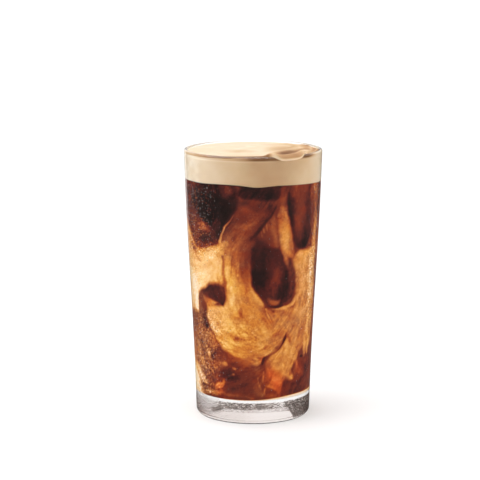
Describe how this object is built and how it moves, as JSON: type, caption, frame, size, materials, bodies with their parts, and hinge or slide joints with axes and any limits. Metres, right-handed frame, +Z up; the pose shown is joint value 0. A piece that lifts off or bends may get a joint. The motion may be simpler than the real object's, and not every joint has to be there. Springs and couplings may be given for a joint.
{
  "type": "cold brew coffee in a glass",
  "caption": "Tall tapered glass tumbler of cold brew coffee swirled with cream, under a cap of cold foam that folds over the rim at the front.",
  "frame": {"origin": "middle of the glass's foot, on the table", "axes": "+Z up along the glass's axis, -Y towards the viewer of the picture, +X to the viewer's right"},
  "size_m": [0.0802, 0.0802, 0.1593],
  "materials": {
    "clear_glass": "smooth pressed soda-lime glass",
    "coffee_and_cream": "dark coffee with cream swirls",
    "cold_foam": "fine soft milk foam"
  },
  "bodies": {
    "root": {"glass": "clear_glass", "coffee": "coffee_and_cream", "foam": "cold_foam"}
  },
  "joints": []
}
